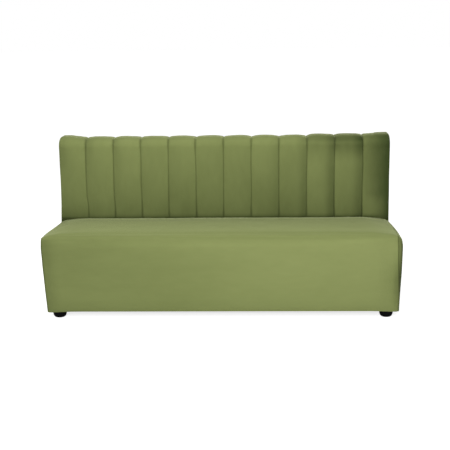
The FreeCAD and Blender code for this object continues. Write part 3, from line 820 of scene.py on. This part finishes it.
# Channel pads: twelve foam strips glued side by side to the board and carried over the top rail.
# Their edges are rounded off, so that the cover can be drawn down between them.
channel_count = 12
end_channel_width = 0.145
channel_pitch = (2 * half_width - 2 * end_channel_width) / (channel_count - 2)
channel_crown = 0.0125
pad_root = 0.0215
pad_gap = 0.002
pad_end_gap = 0.012
pad_rear_gap = 0.004
pad_flatter = 0.004
pad_under = 0.007
back_height = 0.875
back_top_radius = 0.046
back_corner_radii = {-1: 0.017, 1: 0.012}
back_rear_y = 0.318
seam_top_z = back_height - channel_crown
turn_z = seam_top_z - back_top_radius
turn_start_z = turn_z + back_top_radius * math.sin(back_rake)
turn_y = crown_y(turn_start_z) + channel_crown / math.cos(back_rake) + back_top_radius * math.cos(back_rake)
channel_foot_z = 0.334
face_rows = 44
seam_x = [channel_pitch * (k - channel_count / 2) for k in range(1, channel_count)]
channel_ends = [-half_width] + seam_x + [half_width]


def back_path(end_y):
    """Places of the seams up the face, round the top and back to end_y, and the outward direction at each."""
    places, outwards = [], []
    out = np.array([0, -math.cos(back_rake), math.sin(back_rake)])
    for z in np.linspace(channel_foot_z, turn_start_z, face_rows):
        places.append((0, crown_y(z) + channel_crown / math.cos(back_rake), z))
        outwards.append(out)
    for angle in np.linspace(back_rake, math.pi / 2, 15)[1:]:
        out = np.array([0, -math.cos(angle), math.sin(angle)])
        places.append(np.array([0, turn_y, turn_z]) + out * back_top_radius)
        outwards.append(out)
    for y in np.linspace(turn_y, end_y, 7)[1:]:
        places.append((0, y, seam_top_z))
        outwards.append(np.array([0, 0, 1.0]))
    return np.array(places), np.array(outwards)


def channel_form(share, crown, fullness=2.3):
    """Height of a channel over its seams, at a share from -1 to 1 across it."""
    return crown * np.maximum(1 - np.abs(share) ** fullness, 0) ** 0.9


path, path_out = back_path(back_rear_y - pad_rear_gap)
for k in range(channel_count):
    outer_side = {0: -1, channel_count - 1: 1}.get(k, 0)
    low_x = channel_ends[k] + (pad_end_gap if outer_side < 0 else pad_gap)
    high_x = channel_ends[k + 1] - (pad_end_gap if outer_side > 0 else pad_gap)
    share = -np.cos(np.linspace(0, math.pi, 17))
    x = (low_x + high_x) / 2 + share * (high_x - low_x) / 2
    form = channel_form(share, channel_crown - pad_flatter) - pad_under
    if outer_side:
        level_end = channel_crown - pad_flatter - pad_under - 0.02 * np.maximum(outer_side * share - 0.7, 0)
        form = np.where(outer_side * share > -0.1, level_end, form)
    loops = []
    for place, out in zip(path, path_out):
        face = place + np.outer(form, out) + np.outer(x, (1, 0, 0))
        root = place - out * pad_root + np.outer((high_x, low_x), (1, 0, 0))
        loops.append(np.vstack([face, root]))
    pad = one_piece(f"foam_strip_{k + 1:02d}", [grid_mesh(loops, closed=True)], foam)
    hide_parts(f"channel_pad_{k + 1:02d}")


# Channelled cover: velvet sewn into twelve upright channels, drawn over the top and stapled behind.
# The seams are pulled in tight, deepest over the top edge, and the end channels roll round to the sides.
side_lap = 0.020
lap_tuck = 0.004
rear_turn = 0.009
rear_drop = 0.020
channel_depth = 0.0115
top_depth = 0.0100
channel_seam_depth = 0.0022
channel_seam_width = 0.0022
top_pull = 0.0010
pull_spacing = 0.041
end_rises = {-1: 0.0045, 1: 0.0018}
end_roll = 0.007
taller_from = 0.453
taller_by = 0.005
channel_swelling = 0.003
channel_cap = 0.005
seam_wander = 0.0018
low_draw = 0.009
back_flare = 0.0135

path, path_out = back_path(back_rear_y - rear_turn)
path_run = np.concatenate([[0], np.cumsum(np.linalg.norm(np.diff(path, axis=0), axis=1))])
turn_run = path_run[face_rows + 6]
above_seat = np.maximum(path[:, 2] - seat_height, 0)
near_turn = peak(path_run - turn_run, 0.045)
# The seam marks widen and darken near the seat and over the top edge: painted shade in the pleats there.
seam_shade = 0.007 * dying(above_seat, 0.035) + 0.0035 * near_turn
seam_strength = 0.40 + 0.36 * dying(above_seat, 0.04) + 0.08 * near_turn


def flared(points):
    """The back is a little wider at its top than at the seat."""
    wider = points.copy()
    wider[..., 0] *= 1 + back_flare * (np.maximum(points[..., 2], 0.50) - 0.66)
    return wider


# Columns of the cover from left to right: a share across the channel, a place, and a turn round the end.
columns = []
for k in range(channel_count):
    middle = (channel_ends[k] + channel_ends[k + 1]) / 2
    reach = (channel_ends[k + 1] - channel_ends[k]) / 2
    for share in -np.cos(np.linspace(0, math.pi, 27))[1 if k else 0:]:
        outer = (k == 0 and share < 0) or (k == channel_count - 1 and share > 0)
        if not outer:
            columns.append((share, middle + share * reach, 0.0))
half_channel = half_width - end_channel_width / 2
quarter_turn = math.pi / 2
end_angles = np.concatenate([np.linspace(0, quarter_turn, 10)[1:], quarter_turn + np.linspace(0, 1, 6)[1:]])
for side in (-1, 1):
    flat_end = half_width - back_corner_radii[side]
    end_columns = [(0.0, side * x, 0.0) for x in np.linspace(half_channel, flat_end, 9)[1:]]
    end_columns += [(0.0, side * half_width, angle) for angle in end_angles]
    columns = end_columns[::-1] + columns if side < 0 else columns + end_columns

back_velvet = velvet("olive velvet of the back", (1.0, 0.8, 0.45))
turn_rows = 5
drop_rows = 4
rear_rows = turn_rows + drop_rows
path_rows = len(path)
at_top = rise(path_run, turn_run - 0.06, 0.06)
depth = channel_depth + (top_depth - channel_depth) * at_top
channel_rows = np.zeros((path_rows + rear_rows, len(columns), 3))
channel_seam_and_shade = np.zeros(channel_rows.shape[:2])
channel_held = np.zeros(channel_rows.shape[:2])
for c, (share, x, angle) in enumerate(columns):
    side = np.sign(x)
    across = np.full(path_rows, x)
    outward = np.array([0.0, 0.0, 1.0])
    end_side = -1 if x < 0 else 1
    corner = back_corner_radii[end_side]
    end_rise = end_rises[end_side]
    if angle == 0.0:
        lift = channel_crown - depth + channel_form(share, depth)
        lift = lift + end_rise * at_top * rise(abs(x), 0.765, 0.105)
        lift = lift - end_roll * (1 - at_top) * max((abs(x) - 0.80) / 0.08, 0) ** 2
        lift = lift - channel_swelling * max(1 - share ** 2, 0) * (abs(x) < half_channel)
        lift = lift + taller_by * at_top * rise(x, taller_from, 0.03)
        gap = min(abs(x - s) for s in seam_x)
        channel_seam_and_shade[:path_rows, c] = seam_strength * peak(gap, channel_seam_width + seam_shade)
        channel_held[:path_rows, c] = gap < 0.0005 or abs(x) > half_channel
    elif angle <= quarter_turn:
        across[:] = side * (half_width - corner * (1 - math.sin(angle)))
        lift = channel_crown - corner * (1 - math.cos(angle))
        lift = lift + (end_rise * at_top - end_roll * (1 - at_top)) * math.cos(angle)
        lift = lift + taller_by * at_top * (side > 0) * math.cos(angle)
        outward = np.array([side * math.sin(angle), 0.0, math.cos(angle)])
        channel_held[:, c] = 1
    else:
        lap = angle - quarter_turn
        across[:] = side * (half_width - lap_tuck * max(lap - 0.75, 0) / 0.25)
        wall_out = channel_crown - corner
        lift = np.full(path_rows, wall_out - (side_lap + wall_out) * lap)
        outward = np.array([side, 0.0, 0.0])
        channel_seam_and_shade[:path_rows, c] = max(lap - 0.6, 0) / 0.4
        channel_held[:, c] = 1
    column = path + path_out * lift[:, None]
    column[:, 0] = across - side * 0.003 * min(angle, 1) * dying(path[:, 2] - channel_foot_z, 0.004)
    channel_rows[:path_rows, c] = column
    for i, turn in enumerate(np.linspace(0, quarter_turn, turn_rows + 1)[1:]):
        roll = np.array([0, rear_turn * math.sin(turn), 0]) - outward * rear_turn * (1 - math.cos(turn))
        channel_rows[path_rows + i, c] = column[-1] + roll
    turned = channel_rows[path_rows + turn_rows - 1, c]
    for i in range(1, drop_rows + 1):
        channel_rows[path_rows + turn_rows - 1 + i, c] = turned - outward * rear_drop * i / drop_rows
    channel_seam_and_shade[path_rows:, c] = channel_seam_and_shade[path_rows - 1, c]
channel_held[:3] = 1
channel_held[path_rows - 2:] = 1
channel_rows = settled(channel_rows, channel_held, 4.0, channel_cap)

channel_out = normals_of(channel_rows)
rows_run = np.concatenate([path_run, path_run[-1] + 0.004 * np.arange(1, rear_rows + 1)])[:, None]
across_x = channel_rows[:, :, 0]
near_seam = np.min([np.abs(across_x - s) for s in seam_x], axis=0)
over_turn = peak(rows_run - turn_run, 0.050)
groove = np.exp(-(near_seam / (channel_seam_width + 0.002 * over_turn)) ** 1.5)
groove = groove * (channel_seam_depth + top_pull * over_turn)
pull = np.sin(2 * math.pi * (rows_run / pull_spacing + 1.3 * swell(across_x, rows_run, 6.0, 0.3)))
pull = pull * peak(near_seam - 0.010, 0.012)
unevenness = (0.0014 * swell(across_x * 2.5, rows_run, 2.0, 0.5)
              + 0.0005 * swell(across_x * 2, rows_run, 7.0, 0.15))
open_cloth = 1 - peak(near_seam, 0.006)
channel_rows = channel_rows + channel_out * ((unevenness + 0.0007 * pull) * open_cloth - groove)[:, :, None]
wander = seam_wander * swell(np.round(across_x / channel_pitch), rows_run, 9.0, 0.5)
drawn_in = low_draw * np.minimum(across_x / seam_x[-1], 0) ** 3 * fall(channel_rows[:, :, 2], 0.57, 0.08)
channel_rows[:, :, 0] += wander - drawn_in * fall(np.abs(across_x), half_width, 0.10)
channel_rows = flared(channel_rows)

# Marks for the velvet of the back: painted shade in the crease, and painted light and shade on each channel.
height = channel_rows[:, :, 2]
above_crease = np.maximum(height - seat_height + 0.002, 0)
near_left = fall(across_x, -0.60, 0.25)
fainter = 1 - 0.6 * rise(across_x, 0.80, 0.08)
soft_crease_shade = (0.2 + 0.3 * near_left) * dying(above_crease, 0.032)
crease_shade = np.maximum(0.97 * dying(above_crease, 0.010), soft_crease_shade)
on_side = rise(np.array([angle for _, _, angle in columns])[None, :], 0.9, 0.6)
crease_shade = crease_shade * fainter * (1 - on_side)
# A dark line runs along the foot of each side lap, where it is turned under.
lap_foot = on_side * dying(height - channel_foot_z, 0.004)
crease_shade = np.maximum(crease_shade, 0.8 * np.clip(lap_foot, 0, 1))
channel_seam_and_shade = np.maximum(channel_seam_and_shade, crease_shade)

# Painted light and shade on each channel: lighter upwards, and on the right its far side and its top are
# painted dark, on the left much less.
number = np.clip(np.searchsorted(channel_ends, across_x) - 1, 0, channel_count - 1)
low_end, high_end = np.array(channel_ends)[number], np.array(channel_ends)[number + 1]
centre = (low_end + high_end) / 2
outward = np.sign(centre) * (across_x - centre) / (high_end - low_end) * 2
turned_away = rise(outward, 0.1, 0.8)
channel_lay = -0.30 + 0.30 * np.clip((height - 0.66) / 0.2, -1, 1)
channel_lay = channel_lay - 0.5 * rise(centre, 0.1, 0.4) * turned_away
channel_lay = channel_lay - 0.75 * rise(centre, 0.38, 0.30) * rise(height, 0.72, 0.12)
channel_lay = channel_lay - 0.35 * rise(centre, 0.30, 0.30) * rise(height, 0.838, 0.02)
channel_lay = channel_lay - 0.3 * rise(-centre, 0.3, 0.3) * turned_away * rise(height, 0.62, 0.2)
rounded = np.clip(outward, -1, 1) * rise(height, 0.48, 0.1)
channel_lay = channel_lay - 0.15 * rise(-centre, 0.05, 0.2) * rounded * (number > 0)

# Painted light and shade on the end channels: the first is lighter by its seam, and the last is painted
# darker towards the end of the back.
first_share = np.clip((across_x + half_width) / end_channel_width, 0, 1)
first_lay = (0.42 * first_share - 0.28) * fall(height, 0.84, 0.06)
last_share = np.clip((across_x - seam_x[-1]) / end_channel_width, 0, 1)
last_lay = -0.50 - 1.4 * last_share ** (1 + 1.3 * fall(height, 0.57, 0.08))
channel_lay = np.where(number == 0, channel_lay + first_lay, channel_lay)
channel_lay = np.where(number == channel_count - 1, last_lay, channel_lay)

# Over the top, on the rear and on the sides the painted light and shade is weaker, and the sides are painted
# a little darker.
on_top = 0.35 * rise(channel_out[:, :, 2], 0.85, 0.14)
on_rear = rise(rows_run, path_run[-1] - 0.030, 0.030)
channel_lay = channel_lay * (1 - 0.8 * np.maximum(on_side, np.maximum(on_top, on_rear))) - 0.1 * on_side
channel_mesh = grid_mesh(channel_rows, seam=channel_seam_and_shade, lay=channel_lay)
channel_cover = one_piece("channel_velvet", [channel_mesh], back_velvet)
channel_smooth = channel_cover.modifiers.new("rounded", "SUBSURF")
channel_smooth.levels = channel_smooth.render_levels = 1
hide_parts("back_cover")


# Back side panels: flat velvet on either end of the back, sewn to the end channels and turned under.
# Below the channels the front edge runs straight down, close behind the seat's rear corner.
side_reach = back_top_radius - side_lap
low_rows_z = np.linspace(base_z + foot_radius, channel_foot_z - 0.010, 24)
foot_rows_z = channel_foot_z + np.array([-0.006, -0.003, -0.001, 0.001, 0.004])
high_rows_z = np.linspace(channel_foot_z + 0.010, turn_z, 40)
top_rows_z = turn_z + side_reach * np.sin(np.linspace(0, math.pi / 2, 12)[1:])
side_rows_z = np.concatenate([low_rows_z, foot_rows_z, high_rows_z, top_rows_z])


def side_front(z):
    """Front edge of the side panel at a height, along the seam to the end channel."""
    if z <= channel_foot_z:
        return crown_y(rail_top_z)
    if z <= turn_z:
        return crown_y(z) + (channel_crown + side_lap) / math.cos(back_rake)
    return turn_y - math.sqrt(max(side_reach ** 2 - (z - turn_z) ** 2, 0))


for side, side_name in ((-1, "left"), (1, "right")):
    rows = []
    shades = []
    for z in side_rows_z:
        start = side_front(z)
        share = (1 - np.cos(np.linspace(0, math.pi, 30))) / 2
        y = start + (back_rear_y - start) * share
        seam_gap = np.minimum((y - start) * math.cos(back_rake), side_rows_z[-1] - z)
        tuck = lap_tuck * peak(seam_gap, 0.0015) * (z > channel_foot_z)
        x = half_width - tuck + 0.0006 * (1 + swell(y, z + 0 * y, 3.0 + side, 0.3))
        rows.append(np.column_stack([side * x, y, np.full_like(y, z)]))
        shades.append(0.8 * peak(y - start, 0.0035))
    rows = flared(np.array(rows))
    hem = turned_under(rows[0], np.array([-side, 0, 0]), foot_radius)[:0:-1]
    shade = np.concatenate([np.zeros(hem.shape[:2]), np.array(shades)])
    panel_mesh = grid_mesh(np.concatenate([hem, rows]), seam=shade, lay=0.0)
    panel = one_piece(f"back_side_{side_name}", [panel_mesh], back_velvet)


# Outside back: one flat velvet panel, blind-tacked along its top and turned under at the floor.
# It is stretched over the hardboard, so it stays flat, with slight pulls from the tacks.
rear_low, rear_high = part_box("rear_cover")
rear_foot_radius = 0.004
tack_spacing = 0.045
rear_s = (1 - np.cos(np.linspace(0, math.pi, 150))) / 2
rear_t = (1 - np.cos(np.linspace(0, math.pi, 70))) / 2
rear_foot_z = base_z + rear_foot_radius
rear_x, rear_z = np.meshgrid(rear_low.x + (rear_high.x - rear_low.x) * rear_s,
                             rear_foot_z + (rear_high.z - rear_foot_z) * rear_t)
edge_gap = np.minimum(np.minimum(rear_x - rear_low.x, rear_high.x - rear_x), rear_high.z - rear_z)
tack = np.cos(2 * math.pi * rear_x / tack_spacing) * dying(rear_high.z - rear_z, 0.020)
rear_y = rear_high.y - 0.0022 * peak(edge_gap, 0.0022)
rear_y = rear_y + 0.0004 * tack + 0.0006 * swell(rear_x, rear_z, 4.0, 0.5)
rear_panel = np.stack([rear_x, rear_y, rear_z], -1)
rear_hem = turned_under(rear_panel[0], np.array([0, -1, 0]), rear_foot_radius)[:0:-1]
rear_shade = np.concatenate([np.zeros(rear_hem.shape[:2]), 0.5 * peak(edge_gap, 0.003)])
rear_mesh = grid_mesh(flared(np.concatenate([rear_hem, rear_panel])), seam=rear_shade, lay=0.0)
rear_cover = one_piece("outside_back_velvet", [rear_mesh], back_velvet)
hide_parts("rear_cover")


# Dust cover: black spunbond stapled under the seat and the back, to keep the padding from view.
# It sags a little between its staples.
dust_low, dust_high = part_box("dust_cover")
dust_sag = 0.004
dust_dark = (0.010, 0.010, 0.010, 1)
dust_light = (0.030, 0.030, 0.031, 1)
dust_s, dust_t = np.meshgrid(np.linspace(0, 1, 120), np.linspace(0, 1, 44))
dust_x = dust_low.x + (dust_high.x - dust_low.x) * dust_s
dust_y = dust_low.y + (dust_high.y - dust_low.y) * dust_t
dust_gap = np.minimum(np.minimum(dust_s, 1 - dust_s) * 1.78, np.minimum(dust_t, 1 - dust_t) * 0.61)
dust_fall = dust_sag * rise(dust_gap, 0, 0.12) * (1 + 0.4 * swell(dust_x, dust_y, 2.0, 0.4))
dust_z = (dust_low.z + dust_high.z) / 2 - dust_fall
spunbond = fibrous("black spunbond", dust_dark, dust_light, 700.0, 0.0003)
dust_cover = one_piece("dust_sheet", [grid_mesh(np.stack([dust_x, dust_y, dust_z], -1))], spunbond)
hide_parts("dust_cover")


# Feet: moulded black plastic, tapered towards the floor, each held by one screw from below.
# Their lower edge is well rounded and the screw sits in a recess.
foot_height = 0.038
foot_radius_top = 0.035
foot_radius_base = 0.020
foot_round = 0.026
recess_radius = 0.007
recess_depth = 0.018
bore_radius = 0.0026
foot_sides = 48
plastic_dark = (0.001, 0.001, 0.001, 1)
plastic_light = (0.003, 0.003, 0.003, 1)
foot_profile = [(bore_radius, recess_depth), (recess_radius, recess_depth), (recess_radius, 0.0)]
for angle in np.linspace(0, math.pi / 2, 10):
    foot_out = foot_radius_base + (foot_radius_top - foot_radius_base) * math.sin(angle)
    foot_profile.append((foot_out, foot_round * (1 - math.cos(angle))))
foot_profile += [(foot_radius_top, foot_height), (bore_radius, foot_height), (bore_radius, recess_depth)]
plastic = fibrous("black moulded plastic", plastic_dark, plastic_light, 900.0, 0.00006,
                  roughness=(0.45, 0.6), Specular_IOR_Level=0.08)


def lathe(profile, x, y):
    """A turned mesh about an upright axis."""
    around = np.linspace(0, 2 * math.pi, foot_sides + 1)
    return grid_mesh([[(x + r * math.cos(a), y + r * math.sin(a), z) for r, z in profile] for a in around])


for node in ("front_feet", "rear_feet"):
    low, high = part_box(node)
    y = (low.y + high.y) / 2
    turned_feet = [lathe(foot_profile, x, y) for x in (low.x + foot_radius_top, high.x - foot_radius_top)]
    feet = one_piece(node.replace("_", "_pair_of_"), turned_feet, plastic, weld=0.00001)
    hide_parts(node)


# Screws and washers: zinc-plated steel, inside the box and up in the feet.
# They keep the shapes of the construction.
zinc_dark = (0.50, 0.50, 0.49, 1)
zinc_light = (0.66, 0.66, 0.64, 1)
zinc = fibrous("zinc-plated steel", zinc_dark, zinc_light, 220.0, 0.00005,
               roughness=(0.28, 0.42), Metallic=1.0)
dress(zinc, "foot_screws", "coach_screws", "coach_washers")


# Studio: a pale floor that keeps the shadow, white behind it, and soft lamps above and in front.
# The camera stands a little right of the middle, at the height of someone standing.
floor_reach = 40
floor_glow = 0.80
floor_corners = [(-floor_reach, -floor_reach, 0), (floor_reach, -floor_reach, 0),
                 (floor_reach, floor_reach, 0), (-floor_reach, floor_reach, 0)]
floor_mesh = bpy.data.meshes.new("floor")
floor_mesh.from_pydata(floor_corners, [], [(0, 1, 2, 3)])
floor = bpy.data.objects.new("floor", floor_mesh)
bpy.context.collection.objects.link(floor)
floor_paint = bpy.data.materials.new("pale floor")
floor_paint.use_nodes = True
floor_tree = floor_paint.node_tree
floor_shader = floor_tree.nodes["Principled BSDF"]
floor_shader.inputs["Base Color"].default_value = (0.8, 0.8, 0.8, 1)
floor_shader.inputs["Roughness"].default_value = 0.9
floor_shader.inputs["Emission Color"].default_value = (1, 1, 1, 1)
floor_seen = put(floor_tree, "ShaderNodeLightPath").outputs["Is Camera Ray"]
floor_light = worked(floor_tree, "MULTIPLY", floor_seen, floor_glow)
feed(floor_tree, floor_shader.inputs["Emission Strength"], floor_light)
floor_mesh.materials.append(floor_paint)

world = bpy.data.worlds.new("studio")
bpy.context.scene.world = world
world.use_nodes = True
world_tree = world.node_tree
world_light = world_tree.nodes["Background"]
world_light.inputs["Color"].default_value = (0.98, 0.99, 1.0, 1)
world_light.inputs["Strength"].default_value = 0.30
world_white = put(world_tree, "ShaderNodeBackground", Color=(1, 1, 1, 1), Strength=1.0)
world_rays = put(world_tree, "ShaderNodeLightPath").outputs
world_seen = worked(world_tree, "MAXIMUM", world_rays["Is Camera Ray"], world_rays["Is Transmission Ray"])
world_mix = put(world_tree, "ShaderNodeMixShader")
for socket, value in zip(world_mix.inputs, (world_seen, world_light.outputs[0], world_white.outputs[0])):
    feed(world_tree, socket, value)
feed(world_tree, world_tree.nodes["World Output"].inputs["Surface"], world_mix.outputs[0])


def soft_lamp(name, place, aim, size, power):
    """A large oblong lamp that faces a point."""
    light = bpy.data.lights.new(name, "AREA")
    light.shape = "RECTANGLE"
    light.size, light.size_y = size
    light.energy = power
    lamp = bpy.data.objects.new(name, light)
    bpy.context.collection.objects.link(lamp)
    lamp.location = place
    lamp.rotation_euler = (Vector(aim) - Vector(place)).to_track_quat("-Z", "Y").to_euler()


soft_lamp("overhead", (-0.2, -0.9, 3.6), (0, 0, 0.4), (3.6, 2.4), 60)
soft_lamp("front", (-1.0, -5.4, 2.8), (0, 0, 0.5), (2.6, 2.0), 190)

camera_place = Vector((0.2225, -5.2607, 1.5217))
camera_yaw, camera_pitch, camera_roll = (math.radians(a) for a in (-2.301, 11.749, -0.759))
ahead = Vector((math.sin(camera_yaw) * math.cos(camera_pitch), math.cos(camera_yaw) * math.cos(camera_pitch),
                -math.sin(camera_pitch)))
level = Vector((math.cos(camera_yaw), -math.sin(camera_yaw), 0))
above = level.cross(ahead)
right = level * math.cos(camera_roll) + above * math.sin(camera_roll)
up = above * math.cos(camera_roll) - level * math.sin(camera_roll)
camera_data = bpy.data.cameras.new("camera")
camera_data.sensor_width = 36.0
camera_data.lens = 80.68
camera = bpy.data.objects.new("camera", camera_data)
bpy.context.collection.objects.link(camera)
camera.matrix_world = Matrix.Translation(camera_place) @ Matrix((right, up, -ahead)).transposed().to_4x4()
bpy.context.scene.camera = camera
bpy.context.scene.view_settings.view_transform = "Standard"
